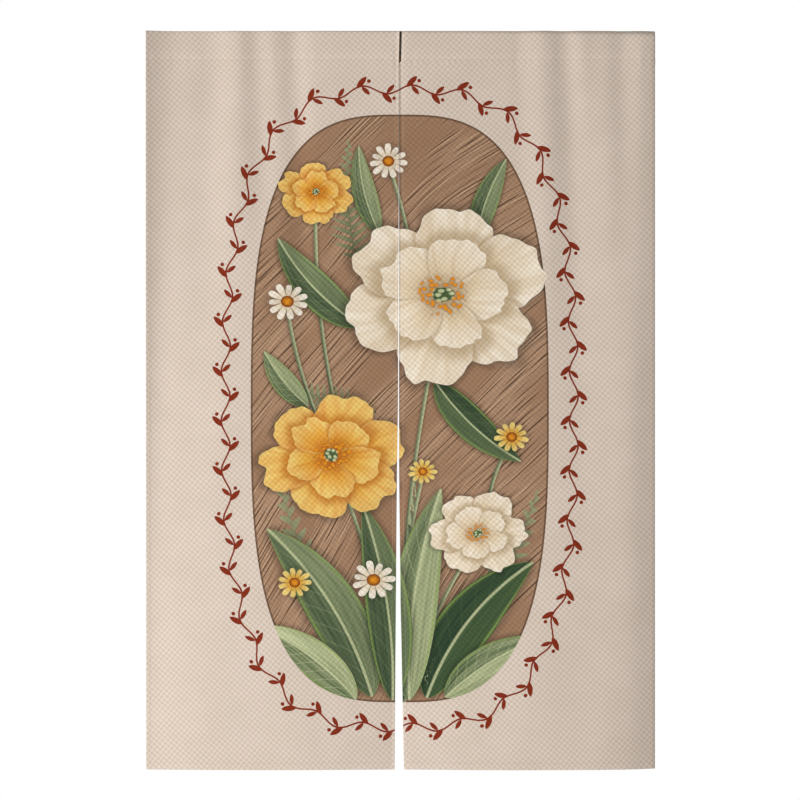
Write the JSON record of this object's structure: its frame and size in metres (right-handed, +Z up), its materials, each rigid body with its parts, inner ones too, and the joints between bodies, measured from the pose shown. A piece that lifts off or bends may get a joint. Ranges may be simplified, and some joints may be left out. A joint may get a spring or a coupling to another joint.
{
  "type": "door curtain",
  "caption": "Cloth door curtain in a pair of panels that part down the middle and hang from one pole sleeve, printed with a flower spray inside a leafy border.",
  "frame": {"origin": "middle of the sleeve's top edge", "axes": "+Z up the drop, +X to the right as seen from the front, the front faces -Y"},
  "size_m": [0.8271, 0.0435, 1.2],
  "materials": {
    "panel_cloth": "printed beige basket-weave cloth, matt",
    "heading_cloth": "plain beige basket-weave cloth, matt"
  },
  "bodies": {
    "root": {"panel_left": "panel_cloth", "panel_right": "panel_cloth", "heading": "heading_cloth"}
  },
  "joints": []
}
